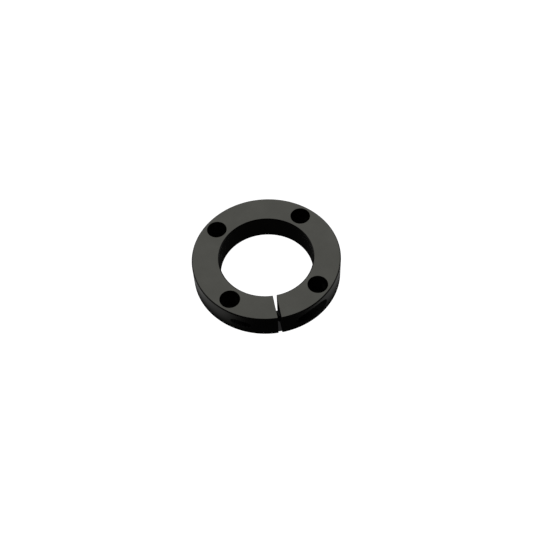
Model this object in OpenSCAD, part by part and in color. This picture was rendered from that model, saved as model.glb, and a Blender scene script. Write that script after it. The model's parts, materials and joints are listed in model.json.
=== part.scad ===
// One-piece clamping shaft collar with four mounting holes, in millimetres.
//
// A flat ring is cut through on one side by a narrow slit. A socket head cap
// screw crosses the slit on a chord of the ring: its head sits in a pocket in
// the rim on one side, and its thread is cut into the ring on the other side.
// Turning the screw closes the slit and grips the shaft. Four plain holes run
// through the ring, parallel to the shaft.
//
// Frame: the shaft axis is Z, the ring stands on z = 0, the slit faces -Y and
// the screw head points to +X.

/* [Ring] */
// Outside diameter
ring_od = 60.33; // [50:0.01:70]
// Bore diameter, which is the shaft size
ring_bore = 38.1; // [30:0.01:45]
// Width along the shaft
ring_width = 10.9; // [8:0.1:16]
// Chamfer on the four circular edges
edge_chamfer = 0.4; // [0.1:0.05:1]
// Width of the slit
slit_width = 1.5; // [0.8:0.05:3]

/* [Mounting holes] */
// Number of holes around the ring
hole_count = 4; // [2:1:8]
// Diameter of each hole
hole_d = 8.1; // [4:0.1:10]
// Diameter of the circle through the hole centres
hole_circle_d = 49.7; // [42:0.1:56]

/* [Clamp screw seat] */
// Distance of the screw axis from the shaft axis
screw_offset = 25.9; // [22:0.1:28]
// Distance of the head seat from the middle of the slit
seat_x = 3.2; // [2:0.1:6]
// Diameter of the head pocket
pocket_d = 7.2; // [6:0.05:9]
// Diameter of the plain hole between slit and seat
clearance_d = 4.5; // [4:0.05:5.5]

/* [Clamp screw] */
// Major diameter of the thread
thread_d = 4.166; // [3:0.001:6]
// Thread pitch, 32 to the inch
thread_pitch = 0.79375; // [0.5:0.00001:1.25]
// Length under the head
screw_length = 12.7; // [8:0.1:20]
// Plain neck under the head
neck_length = 1.7; // [0.5:0.1:3]
// Diameter of the neck
neck_d = 4.1; // [3:0.05:6]
// Head diameter
head_d = 6.86; // [5:0.01:9]
// Head height
head_height = 4.17; // [3:0.01:6]
// Chamfer around the top of the head
head_chamfer = 0.3; // [0.1:0.05:0.6]
// Hexagon socket, across the flats
socket_flats = 3.57; // [2:0.01:5]
// Depth of the socket down to its full-width floor
socket_depth = 2.1; // [1:0.1:3]

/* [Fits] */
// Radial play between the screw thread and the tapped thread
thread_play = 0.06; // [0.02:0.01:0.1]
// Gap left under the head of the snug, untightened screw
seat_gap = 0.05; // [0.02:0.01:0.3]

/* [Hidden] */
$fn = 144;
// how far a cutter runs past a face, and how far two cuts overlap
past = 1;
overlap = 0.01;
// sides of a circle on a small bore or on the screw
small_fn = 72;
ring_r = ring_od / 2;
bore_r = ring_bore / 2;
mid_z = ring_width / 2;
hole_step = 360 / hole_count;
// depth of a 60 degree thread with a flat crest and a flat root
thread_depth = 0.54127 * thread_pitch;
crest_flat = thread_pitch / 8;
root_flat = thread_pitch / 4;
flank = (thread_pitch - crest_flat - root_flat) / 2;
thread_r = thread_d / 2;
root_r = thread_r - thread_depth;
// how far from the slit the last of the tapped hole leaves the rim
tapped_reach = sqrt(pow(ring_r, 2) - pow(screw_offset - thread_d, 2));
// the screw's own stations along its axis, from the middle of the slit
head_x = seat_x + seat_gap;
tip_x = head_x - screw_length;
neck_x = head_x - neck_length;
top_x = head_x + head_height;
// small edges of the screw
tip_inset = 0.15;
thread_runout = 0.2;
head_edge = 0.1;
// the socket's corner radius, its lead-in, and the drill's cone under its floor
socket_r = socket_flats / sqrt(3);
lead_in = 0.2;
lead_margin = 0.15;
cone_depth = 0.5;
cone_tip_r = 0.4;
cone_margin = 0.1;

// Corner points of the ridges that stand for the thread, one ridge per pitch,
// as [radius, station] pairs. Both threads take their stations from the same
// grid, so they mesh: play moves the tapped one outwards.
function ridges(first, count, play) = [
    for (i = [first : first + count - 1])
        let (x = i * thread_pitch)
        each [
            [root_r + play, x],
            [root_r + play, x + root_flat],
            [thread_r + play, x + root_flat + flank],
            [thread_r + play, x + root_flat + flank + crest_flat]
        ]
];

// Puts a shape that was drawn around Z onto the screw's axis, Z towards +X.
module on_screw_axis() {
    translate([0, -screw_offset, mid_z])
        rotate([0, 90, 0])
            children();
}

// The plain ring with its four chamfered circular edges.
module ring_blank() {
    c = edge_chamfer;
    rotate_extrude()
        polygon([
            [bore_r + c, 0],
            [ring_r - c, 0],
            [ring_r, c],
            [ring_r, ring_width - c],
            [ring_r - c, ring_width],
            [bore_r + c, ring_width],
            [bore_r, ring_width - c],
            [bore_r, c]
        ]);
}

// The sawn slit, right through the -Y side of the ring.
module slit_cut() {
    translate([-slit_width / 2, -ring_r - past, -past])
        cube([slit_width, ring_r + past, ring_width + 2 * past]);
}

// The through holes, half a step away from the slit.
module mounting_holes() {
    for (i = [0 : hole_count - 1])
        rotate([0, 0, -90 + hole_step * (i + 0.5)])
            translate([hole_circle_d / 2, 0, -past])
                cylinder(d = hole_d, h = ring_width + 2 * past, $fn = small_fn);
}

// Pocket for the head, its flat seat, and the plain hole down to the slit.
module head_side_cut() {
    on_screw_axis()
        union() {
            translate([0, 0, seat_x])
                cylinder(d = pocket_d, h = ring_r, $fn = small_fn);
            cylinder(d = clearance_d, h = seat_x + overlap, $fn = small_fn);
        }
}

// The tapped hole, from the slit out through the rim on the -X side.
module tapped_cut() {
    count = ceil(tapped_reach / thread_pitch);
    on_screw_axis()
        rotate_extrude($fn = small_fn)
            polygon(concat(
                [[0, -count * thread_pitch]],
                ridges(-count, count, thread_play),
                [[root_r + thread_play, 0], [0, 0]]
            ));
}

module collar_ring() {
    color([0.16, 0.16, 0.15])
        difference() {
            ring_blank();
            slit_cut();
            mounting_holes();
            head_side_cut();
            tapped_cut();
        }
}

// Socket head cap screw: chamfered tip, thread, neck and head, in one turning.
module screw_turning() {
    first = ceil(tip_x / thread_pitch);
    count = floor(neck_x / thread_pitch) - first;
    rotate_extrude($fn = small_fn)
        polygon(concat(
            [
                [0, tip_x],
                [root_r - tip_inset, tip_x]
            ],
            ridges(first, count, 0),
            [
                [root_r, (first + count) * thread_pitch],
                [root_r, neck_x - thread_runout],
                [neck_d / 2, neck_x],
                [neck_d / 2, head_x],
                [head_d / 2 - head_edge, head_x],
                [head_d / 2, head_x + head_edge],
                [head_d / 2, top_x - head_chamfer],
                [head_d / 2 - head_chamfer, top_x],
                [0, top_x]
            ]
        ));
}

// The hexagon for the key, with the drill's cone below it and a lead-in above.
module key_socket() {
    floor_x = top_x - socket_depth;
    translate([0, 0, floor_x])
        cylinder(r = socket_r, h = socket_depth + past, $fn = 6);
    translate([0, 0, floor_x - cone_depth])
        cylinder(
            r1 = cone_tip_r,
            r2 = socket_flats / 2 - cone_margin,
            h = cone_depth + overlap,
            $fn = small_fn
        );
    translate([0, 0, top_x - lead_in])
        cylinder(
            r1 = socket_flats / 2,
            r2 = socket_r + lead_margin,
            h = lead_in + overlap,
            $fn = small_fn
        );
}

module clamp_screw() {
    color([0.2, 0.2, 0.21])
        on_screw_axis()
            difference() {
                screw_turning();
                key_socket();
            }
}

collar_ring();
clamp_screw();
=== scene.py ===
"""A clamping shaft collar: the turned, slit and drilled ring, and the cap screw that closes it."""
import json
from math import atan2, cos, hypot, pi, radians, sin, sqrt, tan

import bmesh
import bpy
from mathutils import Matrix, Vector
from mathutils.geometry import delaunay_2d_cdt


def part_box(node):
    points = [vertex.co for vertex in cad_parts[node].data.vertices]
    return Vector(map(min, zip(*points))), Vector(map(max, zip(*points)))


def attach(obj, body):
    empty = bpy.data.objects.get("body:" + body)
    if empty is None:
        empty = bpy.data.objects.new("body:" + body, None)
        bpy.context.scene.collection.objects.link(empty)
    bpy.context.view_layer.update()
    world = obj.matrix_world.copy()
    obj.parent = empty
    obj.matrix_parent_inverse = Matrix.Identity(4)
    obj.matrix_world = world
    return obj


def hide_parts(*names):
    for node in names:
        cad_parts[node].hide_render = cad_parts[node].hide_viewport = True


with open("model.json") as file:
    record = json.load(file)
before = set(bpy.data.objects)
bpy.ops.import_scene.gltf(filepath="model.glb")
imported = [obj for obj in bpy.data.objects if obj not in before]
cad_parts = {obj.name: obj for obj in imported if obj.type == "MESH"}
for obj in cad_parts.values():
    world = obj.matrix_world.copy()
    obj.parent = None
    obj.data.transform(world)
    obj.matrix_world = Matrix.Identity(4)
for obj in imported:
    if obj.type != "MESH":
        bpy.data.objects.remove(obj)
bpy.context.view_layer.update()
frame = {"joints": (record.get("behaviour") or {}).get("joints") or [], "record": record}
MM = 0.001

# ---------------------------------------------------------------- sizes from the frame
MOUNTS = {mount["name"]: mount for mount in frame["record"]["mounts"]}
SCREW_JOINT = frame["joints"][0]
RING_LOW, RING_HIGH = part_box("collar_ring")
SCREW_LOW, SCREW_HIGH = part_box("clamp_screw")

RING_R = (RING_HIGH.x - RING_LOW.x) / 2
BORE_R = MOUNTS["shaft_bore"]["dims"]["r_mm"] * MM
WIDTH = RING_HIGH.z - RING_LOW.z
HOLES = MOUNTS["mounting_holes"]["dims"]
HOLE_R = HOLES["hole_r_mm"] * MM
HOLE_CIRCLE_R = HOLES["pcd_mm"] * MM / 2
SCREW_Y, MID_Z = SCREW_JOINT["pos_m"][1:]
HEAD_R = (SCREW_HIGH.z - SCREW_LOW.z) / 2
TIP_X, HEAD_TOP_X = SCREW_LOW.x, SCREW_HIGH.x

# ---------------------------------------------------------------- the maker's details
SLIT_HALF = 0.75 * MM
CHAMFER = 0.4 * MM
BLEND = 0.04 * MM          # radius where a chamfer meets a face
BREAK = 0.08 * MM          # broken edge along the slit
HOLE_BREAK = 0.09 * MM     # broken edge of the mounting holes
SEAT_X = 3.2 * MM          # the seat of the screw's head, from the middle of the slit
POCKET_R = 3.6 * MM
CLEARANCE_R = 2.25 * MM
SEAT_FILLET = 0.2 * MM
LIP = 0.09 * MM            # broken edge where a hole leaves the rim
PITCH = 0.79375 * MM
THREAD_R = 2.083 * MM
THREAD_DEPTH = 0.54127 * PITCH
ROOT_FLAT, FLANK = 0.25, 0.3125   # shares of the pitch
THREAD_PLAY = 0.06 * MM
COUNTERSINK = 0.12 * MM    # how far the tapped hole widens at the slit
NECK_R = 2.05 * MM
NECK_LENGTH = 1.7 * MM
HEAD_HEIGHT = 4.17 * MM
HEAD_CHAMFER = 0.3 * MM
HEAD_FILLET = 0.2 * MM     # between the neck and the underside of the head
KNURL_DEPTH = 0.07 * MM
SOCKET_APOTHEM = 1.785 * MM
SOCKET_DEPTH = 2.1 * MM


def blend(start, end, share):
    return start + (end - start) * share


def ease(low, high, value):
    """0 below low, 1 above high, and a smooth rise between; low may be the higher one."""
    share = min(1.0, max(0.0, (value - low) / (high - low)))
    return share * share * (3 - 2 * share)


def inside(point, loop):
    """True if a flat point lies in a closed loop of flat points."""
    x, y = point
    hit = False
    for (x1, y1), (x2, y2) in zip(loop, loop[1:] + loop[:1]):
        if (y1 > y) != (y2 > y) and x < (x2 - x1) * (y - y1) / (y2 - y1) + x1:
            hit = not hit
    return hit


# ---------------------------------------------------------------- metal skins
SPARE_GAP = 0.3 * MM


class Skin:
    """The closed surface of one metal piece, built up from rows of points."""

    def __init__(self):
        self.mesh = bmesh.new()
        self.facing = {}

    def row(self, points, facing=None):
        """New points in a row. facing gives the true direction of the surface at a point."""
        made = [self.mesh.verts.new(point) for point in points]
        if facing:
            for vert in made:
                self.facing[vert] = facing(vert.co).normalized()
        return made

    def join(self, rows, left_out=None):
        """Four-sided faces between closed rows of equal length, except where left_out is true."""
        for row, other in zip(rows, rows[1:]):
            for i in range(len(row)):
                if left_out and left_out(row, other, i):
                    continue
                j = (i + 1) % len(row)
                self.mesh.faces.new((row[i], row[j], other[j], other[i]))

    def cap(self, row, centre, facing=None):
        """Closes a row with a fan of faces round one point."""
        middle = self.row([centre], facing)[0]
        for i, vert in enumerate(row):
            self.mesh.faces.new((vert, row[(i + 1) % len(row)], middle))

    def cover(self, outline, holes, flatten, spare=()):
        """Three-sided faces over the area in outline and outside the holes. flatten lays a point
        out flat. The spare points are used where they keep clear of every hole."""
        flat_holes = [[flatten(vert.co) for vert in hole] for hole in holes]
        flat_outline = [flatten(vert.co) for vert in outline]

        def in_hole(flat):
            return any(inside(flat, hole) for hole in flat_holes)

        def clear(x, y):
            corners = [corner for hole in flat_holes for corner in hole]
            near = any(hypot(x - x1, y - y1) < SPARE_GAP for x1, y1 in corners)
            return not near and not in_hole((x, y))

        verts, edges = [], []
        for loop in [outline, *holes]:
            start = len(verts)
            verts += loop
            edges += [(start + i, start + (i + 1) % len(loop)) for i in range(len(loop))]
        verts += [vert for vert in spare if clear(*flatten(vert.co))]
        flats = [Vector(flatten(vert.co)) / MM for vert in verts]
        _, _, faces, sources, _, _ = delaunay_2d_cdt(flats, edges, [], 0, 1e-6, True)
        for face in faces:
            corners = [verts[sources[i][0]] for i in face]
            flat = [flatten(vert.co) for vert in corners]
            middle = (sum(x for x, _ in flat) / len(flat), sum(y for _, y in flat) / len(flat))
            if inside(middle, flat_outline) and not in_hole(middle):
                self.mesh.faces.new(corners)

    def piece(self, name):
        """The finished object, smooth, with the true facings kept."""
        mesh = self.mesh
        loose = [vert for vert in mesh.verts if not vert.link_faces]
        bmesh.ops.delete(mesh, geom=loose, context="VERTS")
        bmesh.ops.recalc_face_normals(mesh, faces=mesh.faces[:])
        open_edges = [edge for edge in mesh.edges if len(edge.link_faces) != 2]
        if open_edges:
            where = open_edges[0].verts[0].co / MM
            raise ValueError(f"{name} has {len(open_edges)} open edges, one near {where}")
        mesh.normal_update()
        mesh.verts.index_update()
        normals = [self.facing.get(vert, vert.normal).copy() for vert in mesh.verts]
        made = bpy.data.meshes.new(name)
        mesh.to_mesh(made)
        mesh.free()
        made.polygons.foreach_set("use_smooth", [True] * len(made.polygons))
        made.normals_split_custom_set_from_vertices(normals)
        thing = bpy.data.objects.new(name, made)
        bpy.context.scene.collection.objects.link(thing)
        return thing


def outward(point):
    return Vector((point.x, point.y, 0))


def inward(point):
    return -outward(point)


def to_screw_axis(point):
    return Vector((0, SCREW_Y - point.y, MID_Z - point.z))


def always(x, y, z):
    """A facing that is the same all over a flat surface."""
    return lambda point: Vector((x, y, z))


# ---------------------------------------------------------------- the ring's outline
BORE_STEPS, CORNER_STEPS, WALL_STEPS, RIM_STEPS = 110, 4, 16, 150
BORE_END = BORE_STEPS
WALL_START = BORE_END + CORNER_STEPS
WALL_END = WALL_START + WALL_STEPS
RIM_START = WALL_END + CORNER_STEPS
HALF_END = RIM_START + RIM_STEPS
LOOP_LENGTH = 2 * HALF_END


def arc(centre, radius, start, end, steps):
    """Points on an arc in the plane of the ring, angles in radians, without the first one."""
    angles = [blend(start, end, i / steps) for i in range(1, steps + 1)]
    return [(centre[0] + radius * cos(a), centre[1] + radius * sin(a)) for a in angles]


def outline(rim_r, bore_r, half_gap, z):
    """The ring's outline at one height: along the bore, a slit wall and the rim of the +X half,
    and back the same way through the -X half. Small arcs round the corners of the slit."""
    corner_x = half_gap + BREAK
    bore_corner = (corner_x, -sqrt((bore_r + BREAK) ** 2 - corner_x ** 2))
    rim_corner = (corner_x, -sqrt((rim_r - BREAK) ** 2 - corner_x ** 2))
    bore_angle = atan2(bore_corner[1], bore_corner[0])
    rim_angle = atan2(rim_corner[1], rim_corner[0])
    points = [(0.0, bore_r)]
    points += arc((0, 0), bore_r, pi / 2, bore_angle, BORE_STEPS)
    points += arc(bore_corner, BREAK, bore_angle + pi, pi, CORNER_STEPS)
    for i in range(1, WALL_STEPS + 1):
        points.append((half_gap, blend(bore_corner[1], rim_corner[1], i / WALL_STEPS)))
    points += arc(rim_corner, BREAK, pi, rim_angle + 2 * pi, CORNER_STEPS)
    points += arc((0, 0), rim_r, rim_angle, pi / 2, RIM_STEPS)
    points += [(-x, y) for x, y in points[-2:0:-1]]
    return [Vector((x, y, z)) for x, y in points]


# how far a blend runs past the chamfer's corner, along the face and along the chamfer
REACH = BLEND * tan(radians(22.5))
KNEE = REACH / sqrt(2)


def quarter_round(radius, depth):
    """How far a quarter round has come in at a depth below its start."""
    return sqrt(max(0.0, radius ** 2 - (radius - depth) ** 2))


def edge_inset(drop):
    """How far a rim or bore edge stands back at a depth below the face: a chamfer with blends."""
    if drop < KNEE:
        return CHAMFER + REACH - quarter_round(BLEND, drop)
    if drop > CHAMFER + REACH:
        return 0.0
    if drop > CHAMFER - KNEE:
        return BLEND - sqrt(max(0.0, BLEND ** 2 - (CHAMFER + REACH - drop) ** 2))
    return CHAMFER - drop


def slit_inset(drop):
    """The same along the slit, where the edge is only broken."""
    return BREAK - quarter_round(BREAK, drop) if drop < BREAK else 0.0


def edge_drops():
    """The depths at which the outline is drawn down one edge, closer where it turns."""
    upper = [KNEE * share for share in (0.0, 0.12, 0.45, 1.0)]
    middle = [BREAK * share for share in (0.35, 0.65, 1.0, 3.0)]
    lower = [blend(CHAMFER - KNEE, CHAMFER + REACH, share) for share in (0.0, 0.33, 0.66, 1.0)]
    return upper + middle + lower


ON_SURFACE = 1e-7


def ring_facing(point):
    """Which way the ring's plain surfaces face, at points on the rim, the bore or a slit wall."""
    radius = hypot(point.x, point.y)
    if abs(radius - RING_R) < ON_SURFACE:
        return outward(point)
    if abs(radius - BORE_R) < ON_SURFACE:
        return inward(point)
    if abs(abs(point.x) - SLIT_HALF) < ON_SURFACE:
        return Vector((-point.x, 0, 0))
    return None


ROWS_BETWEEN = 14
# the steps along the rim, counted from the slit, that hold one of the screw's two holes
HOLE_FROM, HOLE_TO = 6, 42


def ring_body(skin):
    """All the outline rows from the top face to the bottom one, with the faces between them left
    out where the rim and the slit walls have a hole. Returns the top, the bottom and the walls."""
    drops = edge_drops()
    plain = [blend(WIDTH - drops[-1], drops[-1], i / ROWS_BETWEEN) for i in range(1, ROWS_BETWEEN)]
    heights = [WIDTH - drop for drop in drops] + plain + drops[::-1]
    rows = []
    for z in heights:
        drop = min(z, WIDTH - z)
        inset = edge_inset(drop)
        row = skin.row(outline(RING_R - inset, BORE_R + inset, SLIT_HALF + slit_inset(drop), z))
        for vert in row:
            if z in (0, WIDTH):
                skin.facing[vert] = Vector((0, 0, 1 if z else -1))
            elif drop > drops[-1] - ON_SURFACE:
                facing = ring_facing(vert.co)
                if facing:
                    skin.facing[vert] = facing.normalized()
        rows.append(row)
    walls = rows[len(drops) - 1:len(rows) - len(drops) + 1]
    windows = [
        (RIM_START + HOLE_FROM, RIM_START + HOLE_TO),
        (LOOP_LENGTH - RIM_START - HOLE_TO, LOOP_LENGTH - RIM_START - HOLE_FROM),
        (WALL_START, WALL_END),
        (LOOP_LENGTH - WALL_END, LOOP_LENGTH - WALL_START),
    ]

    def in_window(row, other, i):
        return row in walls and other in walls and any(low <= i < high for low, high in windows)

    skin.join(rows, in_window)
    return rows[0], rows[-1], [window_of(walls, *window) for window in windows]


def window_of(rows, low, high):
    """The edge of a patch of the outline rows, as a loop, and the points within it."""
    edge = rows[0][low:high] + [row[high] for row in rows[:-1]]
    edge += rows[-1][high:low:-1] + [row[low] for row in rows[:0:-1]]
    return edge, [vert for row in rows[1:-1] for vert in row[low + 1:high]]


# ---------------------------------------------------------------- holes in the ring
TURN = 96
ANGLES = [2 * pi * i / TURN for i in range(TURN)]
ROUND = (radians(30), radians(60))   # the steps of a small round


def about_screw(x, radius, angle):
    return Vector((x, SCREW_Y + radius * cos(angle), MID_Z + radius * sin(angle)))


def rim_x(radius, angle):
    """Where a line parallel to the screw, at that radius and angle from it, leaves the rim."""
    return sqrt(RING_R ** 2 - (SCREW_Y + radius * cos(angle)) ** 2)


def circle_row(skin, x, radius, facing=None):
    return skin.row([about_screw(x, radius, angle) for angle in ANGLES], facing)


def lip_rows(skin, radius, side):
    """The broken edge round a hole that leaves the rim at a slant, from the rim into the hole."""
    rows = []
    for share in (0.0, 0.25, 0.5, 0.75, 1.0):
        points = []
        for angle in ANGLES:
            on_rim = about_screw(side * rim_x(radius + LIP, angle), radius + LIP, angle)
            corner = about_screw(side * rim_x(radius, angle), radius, angle)
            in_hole = corner - Vector((side * LIP, 0, 0))
            points.append(on_rim.lerp(corner, share).lerp(corner.lerp(in_hole, share), share))
        facing = {0.0: outward, 1.0: to_screw_axis}.get(share)
        rows.append(skin.row(points, facing))
    return rows


def head_pocket(skin):
    """The pocket for the screw head, from its lip in the rim to the broken edge in the slit."""
    rows = lip_rows(skin, POCKET_R, 1)
    floor_start = SEAT_X + SEAT_FILLET
    wall_steps = 8
    for step in range(1, wall_steps + 1):
        points = []
        for angle in ANGLES:
            x = blend(rim_x(POCKET_R, angle) - LIP, floor_start, step / wall_steps)
            points.append(about_screw(x, POCKET_R, angle))
        rows.append(skin.row(points, to_screw_axis))
    for a in ROUND:
        radius = POCKET_R - SEAT_FILLET * (1 - cos(a))
        rows.append(circle_row(skin, floor_start - SEAT_FILLET * sin(a), radius))
    rows.append(circle_row(skin, SEAT_X, POCKET_R - SEAT_FILLET, always(1, 0, 0)))
    rows.append(circle_row(skin, SEAT_X, CLEARANCE_R + BREAK, always(1, 0, 0)))
    for a in ROUND:
        radius = CLEARANCE_R + BREAK * (1 - sin(a))
        rows.append(circle_row(skin, SEAT_X - BREAK * (1 - cos(a)), radius))
    rows.append(circle_row(skin, SEAT_X - BREAK, CLEARANCE_R, to_screw_axis))
    rows.append(circle_row(skin, SLIT_HALF + BREAK, CLEARANCE_R, to_screw_axis))
    for a in ROUND:
        radius = CLEARANCE_R + BREAK * (1 - cos(a))
        rows.append(circle_row(skin, SLIT_HALF + BREAK * (1 - sin(a)), radius))
    rows.append(circle_row(skin, SLIT_HALF, CLEARANCE_R + BREAK, always(-1, 0, 0)))
    skin.join(rows)
    return rows[0], rows[-1]


ROWS_PER_PITCH = 16


def thread_height(x, angle):
    """The height of a right-hand thread's profile, 0 at the root and 1 at the crest."""
    phase = (x / PITCH - angle / (2 * pi)) % 1
    if phase < ROOT_FLAT:
        return 0.0
    if phase < ROOT_FLAT + FLANK:
        return (phase - ROOT_FLAT) / FLANK
    if phase < 1 - FLANK:
        return 1.0
    return (1 - phase) / FLANK


def tapped_hole(skin):
    """The tapped hole, from its lip in the rim on the far side to its countersink in the slit.
    Its thread stops short of the screw, which turns without moving along."""
    crest = THREAD_R + THREAD_PLAY
    rows = lip_rows(skin, crest, -1)
    mouth_r = crest + COUNTERSINK
    longest = max(rim_x(crest, angle) for angle in ANGLES) - SLIT_HALF
    steps = int(longest / PITCH * ROWS_PER_PITCH)
    for step in range(1, steps):
        points = []
        for angle in ANGLES:
            start = rim_x(crest, angle) - LIP
            x = blend(start, SLIT_HALF, step / steps)
            from_rim = ease(0.1 * MM, 0.9 * MM, start - x)
            from_tip = ease(0.1 * MM, 0.8 * MM, x + TIP_X)
            depth = THREAD_DEPTH * (1 - thread_height(-x, angle)) * from_rim * from_tip
            countersink = mouth_r - (x - SLIT_HALF)
            points.append(about_screw(-x, max(crest - depth, countersink), angle))
        rows.append(skin.row(points))
    rows.append(circle_row(skin, -SLIT_HALF, mouth_r, always(1, 0, 0)))
    skin.join(rows)
    return rows[0], rows[-1]


HOLE_TURN = 80
HOLE_STEP = 2 * pi / HOLES["count"]
HOLE_CENTRES = [
    Vector((HOLE_CIRCLE_R * cos(a), HOLE_CIRCLE_R * sin(a)))
    for a in (-pi / 2 + HOLE_STEP * (i + 0.5) for i in range(HOLES["count"]))
]


def mounting_hole(skin, centre):
    """One plain hole parallel to the shaft, its mouths broken. Returns its rims in both faces."""
    angles = [2 * pi * i / HOLE_TURN for i in range(HOLE_TURN)]
    mouth = []
    for a in (0, *ROUND, pi / 2):
        mouth.append((HOLE_BREAK * (1 - sin(a)), WIDTH - HOLE_BREAK * (1 - cos(a))))
    wall = [(0.0, blend(WIDTH - HOLE_BREAK, HOLE_BREAK, i / 6)) for i in range(1, 6)]
    profile = mouth + wall + [(grown, WIDTH - z) for grown, z in reversed(mouth)]

    def to_axis(point):
        return Vector((centre.x - point.x, centre.y - point.y, 0))

    rows = []
    for grown, z in profile:
        radius = HOLE_R + grown
        points = [(centre.x + radius * cos(a), centre.y + radius * sin(a), z) for a in angles]
        facing = always(0, 0, 1) if z == WIDTH else always(0, 0, -1) if z == 0 else None
        rows.append(skin.row(points, to_axis if grown < ON_SURFACE else facing))
    skin.join(rows)
    return rows[0], rows[-1]


def flat_from_above(point):
    return point.x, point.y


def flat_from_slit(point):
    return point.y, point.z


def rolled_out(point):
    """The rim laid flat: distance round it from the slit, and height."""
    return RING_R * atan2(-point.x, -point.y), point.z


def make_ring():
    skin = Skin()
    top, bottom, (rim_right, rim_left, wall_right, wall_left) = ring_body(skin)
    mouths = [mounting_hole(skin, centre) for centre in HOLE_CENTRES]
    skin.cover(top, [above for above, _ in mouths], flat_from_above)
    skin.cover(bottom, [below for _, below in mouths], flat_from_above)
    pocket_lip, pocket_end = head_pocket(skin)
    tapped_lip, tapped_end = tapped_hole(skin)
    skin.cover(rim_right[0], [pocket_lip], rolled_out, rim_right[1])
    skin.cover(rim_left[0], [tapped_lip], rolled_out, rim_left[1])
    skin.cover(wall_right[0], [pocket_end], flat_from_slit, wall_right[1])
    skin.cover(wall_left[0], [tapped_end], flat_from_slit, wall_left[1])
    for vert in [*rim_right[1], *rim_left[1]]:
        if vert.is_valid:
            skin.facing[vert] = outward(vert.co).normalized()
    return skin.piece("turned_ring")


# ---------------------------------------------------------------- the clamp screw
SCREW_TURN = 120
SCREW_ANGLES = [2 * pi * i / SCREW_TURN for i in range(SCREW_TURN)]


def hexagon(angle):
    """The socket's radius, its corners at every sixth of a turn."""
    return SOCKET_APOTHEM / cos(angle % (pi / 3) - pi / 6)


def screw_row(skin, x, radius, facing=None):
    """radius is a number, or a function of the angle."""
    size = radius if callable(radius) else lambda angle: radius
    return skin.row([about_screw(x, size(angle), angle) for angle in SCREW_ANGLES], facing)


def screw_shank(skin):
    """From the chamfered tip, along the thread and its run-out, to the neck under the head."""
    head_x = HEAD_TOP_X - HEAD_HEIGHT
    neck_x = head_x - NECK_LENGTH
    tip_r = THREAD_R - THREAD_DEPTH - 0.12 * MM
    tip_slope, runout = 1.2, 0.7 * MM
    steps = int((neck_x - TIP_X) / PITCH * ROWS_PER_PITCH)
    rows = [
        screw_row(skin, TIP_X, tip_r - 0.1 * MM, always(-1, 0, 0)),
        screw_row(skin, TIP_X + 0.03 * MM, tip_r),
    ]
    for step in range(1, steps + 1):
        x = blend(TIP_X, neck_x, step / steps)

        def radius(angle):
            thread = THREAD_R - THREAD_DEPTH * (1 - thread_height(x, angle))
            chamfered = min(thread, tip_r + tip_slope * (x - TIP_X))
            return blend(chamfered, NECK_R, ease(neck_x - runout, neck_x, x))

        rows.append(screw_row(skin, x, radius))
    rows.append(screw_row(skin, head_x - 0.25 * MM, NECK_R, lambda point: -to_screw_axis(point)))
    for degrees in (20, 40, 60, 80):
        a = radians(degrees)
        x = head_x - HEAD_FILLET * (1 - sin(a))
        rows.append(screw_row(skin, x, NECK_R + HEAD_FILLET * (1 - cos(a))))
    return rows


def screw_head(skin):
    """The head's bearing face, knurled side, chamfer and flat top, as far as the socket's mouth."""
    head_x = HEAD_TOP_X - HEAD_HEIGHT
    side_end = HEAD_TOP_X - HEAD_CHAMFER
    rows = [
        screw_row(skin, head_x, NECK_R + 0.22 * MM, always(-1, 0, 0)),
        screw_row(skin, head_x, HEAD_R - 0.2 * MM, always(-1, 0, 0)),
        screw_row(skin, head_x + 0.06 * MM, HEAD_R - 0.08 * MM),
        screw_row(skin, head_x + 0.18 * MM, HEAD_R - 0.01 * MM),
    ]
    knurl_start, knurl_end, knurl_steps = head_x + 0.3 * MM, side_end - 0.1 * MM, 26
    for step in range(knurl_steps + 1):
        x = blend(knurl_start, knurl_end, step / knurl_steps)
        cut = KNURL_DEPTH * ease(0, 0.4 * MM, x - knurl_start) * ease(0, 0.25 * MM, knurl_end - x)

        def knurled(angle):
            return HEAD_R - cut * (round(angle / SCREW_ANGLES[1]) % 2)

        rows.append(screw_row(skin, x, knurled))
    rows.append(screw_row(skin, side_end, HEAD_R - 0.01 * MM))
    rows.append(screw_row(skin, side_end + 0.05 * MM, HEAD_R - 0.05 * MM))
    rows.append(screw_row(skin, HEAD_TOP_X - 0.05 * MM, HEAD_R - HEAD_CHAMFER + 0.04 * MM))
    rows.append(screw_row(skin, HEAD_TOP_X - 0.01 * MM, HEAD_R - HEAD_CHAMFER))
    rows.append(screw_row(skin, HEAD_TOP_X, HEAD_R - HEAD_CHAMFER - 0.05 * MM, always(1, 0, 0)))
    return rows


def key_socket(skin):
    """The hexagon socket: its countersunk mouth, its flats, and the drilled cone at the bottom."""
    mouth_r = SOCKET_APOTHEM / cos(pi / 6) + 0.14 * MM
    rows = [
        screw_row(skin, HEAD_TOP_X, mouth_r + 0.03 * MM, always(1, 0, 0)),
        screw_row(skin, HEAD_TOP_X - 0.02 * MM, mouth_r),
    ]
    mouth_steps = 14
    for step in range(1, mouth_steps + 1):
        depth = 0.03 * MM * step

        def radius(angle):
            return max(hexagon(angle), mouth_r - depth)

        rows.append(screw_row(skin, HEAD_TOP_X - 0.02 * MM - depth, radius))
    floor_x = HEAD_TOP_X - SOCKET_DEPTH
    rows.append(screw_row(skin, blend(rows[-1][0].co.x, floor_x, 0.5), hexagon))
    rows.append(screw_row(skin, floor_x + 0.05 * MM, hexagon))
    rows.append(screw_row(skin, floor_x, lambda angle: hexagon(angle) - 0.06 * MM))
    rows.append(screw_row(skin, floor_x, SOCKET_APOTHEM - 0.12 * MM))
    rows.append(screw_row(skin, floor_x - 0.25 * MM, 0.9 * MM))
    return rows, about_screw(floor_x - 0.5 * MM, 0, 0)


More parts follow.
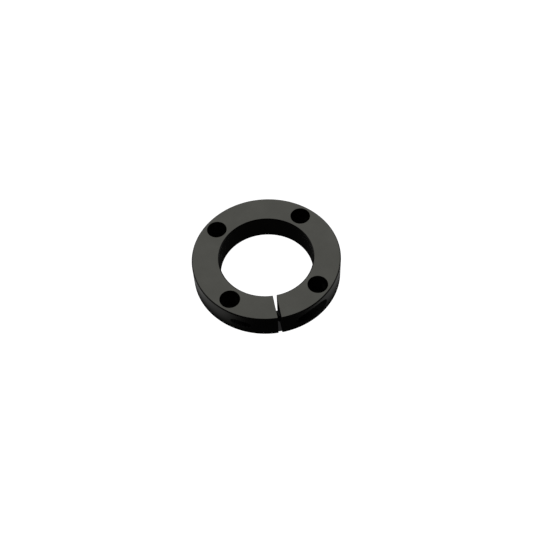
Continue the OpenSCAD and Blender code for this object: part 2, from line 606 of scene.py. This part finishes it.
def make_screw():
    skin = Skin()
    socket_rows, socket_end = key_socket(skin)
    rows = screw_shank(skin) + screw_head(skin) + socket_rows
    skin.join(rows)
    skin.cap(rows[0], about_screw(TIP_X, 0, 0), always(-1, 0, 0))
    skin.cap(rows[-1], socket_end)
    return skin.piece("cap_screw")


# ---------------------------------------------------------------- finishes
class Wire:
    """A value on its way through a material. Sums written with it add the nodes that do them."""

    def __init__(self, nodes, socket):
        self.nodes, self.socket = nodes, socket

    def sum(self, operation, *values):
        return self.nodes.node("ShaderNodeMath", {"operation": operation}, dict(enumerate(values)))

    def __add__(self, other):
        return self.sum("ADD", self, other)

    def __radd__(self, other):
        return self.sum("ADD", other, self)

    def __sub__(self, other):
        return self.sum("SUBTRACT", self, other)

    def __rsub__(self, other):
        return self.sum("SUBTRACT", other, self)

    def __mul__(self, other):
        return self.sum("MULTIPLY", self, other)

    def __rmul__(self, other):
        return self.sum("MULTIPLY", other, self)

    def __pow__(self, other):
        return self.sum("POWER", self, other)

    def __abs__(self):
        return self.sum("ABSOLUTE", self)

    def least(self, other):
        return self.sum("MINIMUM", self, other)

    def most(self, other):
        return self.sum("MAXIMUM", self, other)

    def rise(self, low, high):
        """0 up to low, 1 from high on, smooth between."""
        settings = {"interpolation_type": "SMOOTHSTEP", "clamp": True}
        inputs = {"Value": self, "From Min": low, "From Max": high}
        return self.nodes.node("ShaderNodeMapRange", settings, inputs)


class Nodes:
    """The nodes of one material or of the room."""

    def __init__(self, tree):
        self.tree = tree

    def node(self, kind, settings, inputs, output=0):
        """Adds a node, sets it up, fills or links its sockets, and returns one of its outputs."""
        made = self.tree.nodes.new(kind)
        for name, value in settings.items():
            setattr(made, name, value)
        for socket, value in inputs.items():
            if isinstance(value, Wire):
                self.tree.links.new(value.socket, made.inputs[socket])
            else:
                made.inputs[socket].default_value = value
        return Wire(self, made.outputs[output])

    def three(self, output):
        """One of the coordinate node's outputs, as three values."""
        whole = self.node("ShaderNodeTexCoord", {}, {}, output)
        return [self.node("ShaderNodeSeparateXYZ", {}, {0: whole}, axis) for axis in "XYZ"]

    def point(self, x, y, z):
        return self.node("ShaderNodeCombineXYZ", {}, {0: x, 1: y, 2: z})

    def noise(self, point, scale, detail, roughness=0.5):
        inputs = {"Vector": point, "Scale": scale, "Detail": detail, "Roughness": roughness}
        return self.node("ShaderNodeTexNoise", {}, inputs)

    def tint(self, share, first, second):
        """A colour between two, by a share from 0 to 1. The mix node's sockets for colours are
        its inputs 6 and 7 and its output 2."""
        return self.node("ShaderNodeMix", {"data_type": "RGBA"}, {0: share, 6: first, 7: second}, 2)


class Finish(Nodes):
    """One material, built from its shader backwards."""

    def __init__(self, name, **constants):
        self.material = bpy.data.materials.new(name)
        self.material.use_nodes = True
        super().__init__(self.material.node_tree)
        self.shader = self.tree.nodes["Principled BSDF"]
        for socket, value in constants.items():
            self.shader.inputs[socket.replace("_", " ")].default_value = value

    def feed(self, **links):
        for socket, value in links.items():
            self.tree.links.new(value.socket, self.shader.inputs[socket.replace("_", " ")])

    def bump(self, height, distance):
        return self.node("ShaderNodeBump", {}, {"Height": height, "Distance": distance})


def grey(level, warmth=0.0):
    """A colour of one brightness, with a little less blue in it."""
    return (level, level, level * (1 - warmth), 1)


def ring_finish():
    """Black oxide on turned steel: satin, with tool marks that follow how each surface was cut."""
    finish = Finish("satin_black_oxide", Metallic=1.0)
    x, y, z = finish.three("Object")
    face_x, _, face_z = finish.three("Normal")
    radius = (x * x + y * y) ** 0.5
    on_face = abs(face_z).rise(0.6, 0.9)
    in_slit = abs(x).rise(SLIT_HALF + 0.1 * MM, SLIT_HALF + 0.02 * MM) * abs(face_x).rise(0.8, 0.95)
    # facing cuts run round the faces, turning cuts round the rim and the bore
    across = radius * on_face + z * (1 - on_face)
    fine = finish.noise(finish.point(across, 0.0, on_face), 9000.0, 3.0)
    broad = finish.noise(finish.point(across, 0.0, on_face), 1400.0, 2.0)
    # the saw leaves long shallow arcs in the slit
    saw_y, saw_z = y + 75 * MM, z + 20 * MM
    saw_arc = (saw_y * saw_y + saw_z * saw_z) ** 0.5
    saw = finish.noise(finish.point(saw_arc, 0.0, 0.0), 4200.0, 3.0)
    cuts = (fine * 0.6 + broad * 0.4) * (1 - in_slit) + saw * in_slit
    # the sawn slit and the holes for the screw are rougher than the turned faces, and their colour
    # is darkened as painted shade in these recesses
    off_y, off_z = y - SCREW_Y, z - MID_Z
    off_axis = (off_y * off_y + off_z * off_z) ** 0.5
    in_pocket = off_axis.rise(POCKET_R + LIP, POCKET_R) * x.rise(0.0, SLIT_HALF)
    in_thread = off_axis.rise(THREAD_R + 2 * LIP, THREAD_R + LIP) * x.rise(0.0, -SLIT_HALF)
    rough_recess_shade = in_slit.most(in_pocket).most(in_thread)
    place = finish.point(x, y, z)
    clouds = finish.noise(place, 120.0, 4.0, 0.55)
    grain = finish.noise(place, 5200.0, 2.0, 0.6)
    # the chamfers are smoother, and painted shade darkens their colour into a dark line; they are
    # rubbed lighter here and there
    to_rim = (RING_R - radius).least(radius - BORE_R)
    to_face = z.least(WIDTH - z)
    edge = 1 - (to_rim + to_face).rise(CHAMFER * 0.6, CHAMFER * 1.6)
    rubbed = edge * finish.noise(place, 900.0, 3.0).rise(0.45, 0.75)
    shade = 0.5 * clouds + 0.25 * grain + 0.15 * cuts
    colour = finish.tint(shade.rise(0.25, 0.7), grey(0.062, 0.1), grey(0.078, 0.1))
    # painted shade: the chamfers are darkened to draw the dark line that reflection gives along
    # them
    colour = finish.tint(edge * 0.9, colour, grey(0.02))
    colour = finish.tint(rubbed * 0.1, colour, grey(0.13, 0.05))
    # painted shade: the slit and the screw's holes are darkened where shade falls in them
    colour = finish.tint(rough_recess_shade, colour, grey(0.03))
    roughness = 0.32 + 0.1 * (clouds - 0.5) + 0.08 * (cuts - 0.5) - 0.15 * edge + 0.35 * rough_recess_shade
    relief = finish.bump(cuts * 0.7 + grain * 0.3, 0.004 * MM)
    finish.feed(Base_Color=colour, Roughness=roughness, Normal=relief)
    return finish.material


def screw_finish():
    """Black oxide on a rolled and forged alloy steel screw: darker, smoother and a little oily."""
    finish = Finish("oiled_black_oxide", Metallic=1.0)
    place = finish.point(*finish.three("Object"))
    clouds = finish.noise(place, 500.0, 3.0)
    grain = finish.noise(place, 9000.0, 2.0)
    colour = finish.tint(clouds.rise(0.3, 0.7), grey(0.034), grey(0.052))
    roughness = 0.3 + 0.12 * (clouds - 0.5) + 0.08 * (grain - 0.5)
    finish.feed(Base_Color=colour, Roughness=roughness, Normal=finish.bump(grain, 0.003 * MM))
    return finish.material


# ---------------------------------------------------------------- the object
def fit(piece, body, node, material):
    piece.data.materials.append(material)
    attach(piece, body)
    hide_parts(node)


fit(make_ring(), "ring", "collar_ring", ring_finish())
fit(make_screw(), "screw", "clamp_screw", screw_finish())


# ---------------------------------------------------------------- studio
def circle(radius):
    return arc((0.0, 0.0), radius, 0.0, 2 * pi, 128)


def make_sheet(name, outline, glow, drop, thinned=None):
    """A flat glowing stage piece a little below the collar, seen only from above. thinned gives
    how clear it is, from 0 to 1, from the distance to its own middle."""
    mesh = bpy.data.meshes.new(name)
    mesh.from_pydata([(x, y, -drop) for x, y in outline], [], [range(len(outline))])
    sheet = bpy.data.objects.new(name, mesh)
    bpy.context.scene.collection.objects.link(sheet)
    finish = Finish(name, Base_Color=grey(0.0), Roughness=1.0, Specular_IOR_Level=0.0,
                    Emission_Color=grey(glow), Emission_Strength=1.0)
    clear_share = finish.node("ShaderNodeNewGeometry", {}, {}, "Backfacing")
    if thinned:
        x, y, _ = finish.three("Object")
        clear_share = clear_share.most(thinned((x * x + y * y) ** 0.5))
    clear = finish.node("ShaderNodeBsdfTransparent", {}, {})
    lit = Wire(finish, finish.shader.outputs[0])
    seen = finish.node("ShaderNodeMixShader", {}, {0: clear_share, 1: lit, 2: clear})
    finish.tree.links.new(seen.socket, finish.tree.nodes["Material Output"].inputs["Surface"])
    mesh.materials.append(finish.material)
    return sheet


def make_floor(hole_centres):
    """A plain pale floor, with the shade that the collar lays on it."""
    floor = make_sheet("pale_floor", circle(3.0), glow=1.1, drop=0.08 * MM)
    floor.visible_glossy = False
    in_bore = make_sheet("shade_in_bore", circle(BORE_R), glow=0.015, drop=0.04 * MM)
    in_bore.visible_camera = False

    def lighter_middle(radius):
        return 0.35 * radius.rise(HOLE_R - 1.1 * MM, 0.3 * HOLE_R)

    # the shades in the holes and the slit reach a little way under the ring
    under = 0.1 * MM
    mouth = circle(HOLE_R + under)
    for i, centre in enumerate(hole_centres):
        name = f"shade_in_hole_{i + 1}"
        in_hole = make_sheet(name, mouth, glow=0.001, drop=0.05 * MM, thinned=lighter_middle)
        in_hole.location = *centre, 0.0
    right, left = SLIT_HALF + under, -SLIT_HALF - under
    outer, inner = -RING_R + 0.9 * MM, -BORE_R - 0.4 * MM
    corners = [(left, outer), (right, outer), (right, inner), (left, inner)]
    make_sheet("shade_in_slit", corners, glow=0.016, drop=0.05 * MM)

    def beyond_foot(radius):
        return radius.rise(RING_R, RING_R + 5 * MM).most(radius.rise(RING_R, RING_R - 0.4 * MM))

    foot = circle(RING_R + 6 * MM)
    at_foot = make_sheet("shade_at_foot", foot, glow=0.01, drop=0.03 * MM, thinned=beyond_foot)
    at_foot.visible_camera = False


def make_room():
    """A studio room: bright above and behind, dim low at the sides, dark in front."""
    world = bpy.data.worlds.new("studio_room")
    bpy.context.scene.world = world
    world.use_nodes = True
    room = Nodes(world.node_tree)
    x, y, z = room.three("Generated")
    overhead = (0.6 * y + 0.8 * z).rise(0.5, 0.9)
    # a dark stand straight behind parts the low light in two
    beside = abs(0.985 * x - 0.174 * y).rise(0.05, 0.25)
    low = z.rise(-0.1, -0.6) * beside * (y.rise(-0.3, -0.05) + y.rise(0.2, 0.55))
    walls = (z + 0.25 * y).rise(-0.6, -0.35) * z.rise(0.42, 0.18)
    light = 0.008 + 1.12 * overhead + 0.25 * low + 0.24 * walls
    # the backdrop itself is seen white
    seen = room.node("ShaderNodeLightPath", {}, {}, "Is Camera Ray")
    strength = light * (1 - seen) + seen
    background = world.node_tree.nodes["Background"]
    world.node_tree.links.new(strength.socket, background.inputs["Strength"])
    background.inputs["Color"].default_value = grey(1.0)


AIM = Vector((-0.0112, -0.0624, 0.214)) * RING_R
DISTANCE = 12.224 * RING_R
AZIMUTH, ELEVATION, ROLL = radians(-7.11), radians(54.48), radians(-3.67)


def make_camera():
    """Looks down at the slit side from a little to its left."""
    data = bpy.data.cameras.new("camera")
    data.lens, data.sensor_width = 61.29, 36.0
    data.clip_start, data.clip_end = 0.01, 10.0
    camera = bpy.data.objects.new("camera", data)
    bpy.context.scene.collection.objects.link(camera)
    turn = Matrix.Rotation(AZIMUTH, 4, "Z") @ Matrix.Rotation(pi / 2 - ELEVATION, 4, "X")
    away = turn @ Vector((0, 0, DISTANCE))
    camera.matrix_world = Matrix.Translation(AIM + away) @ turn @ Matrix.Rotation(ROLL, 4, "Z")
    bpy.context.scene.camera = camera


make_floor(HOLE_CENTRES)
make_room()
make_camera()
bpy.context.scene.view_settings.view_transform = "Standard"
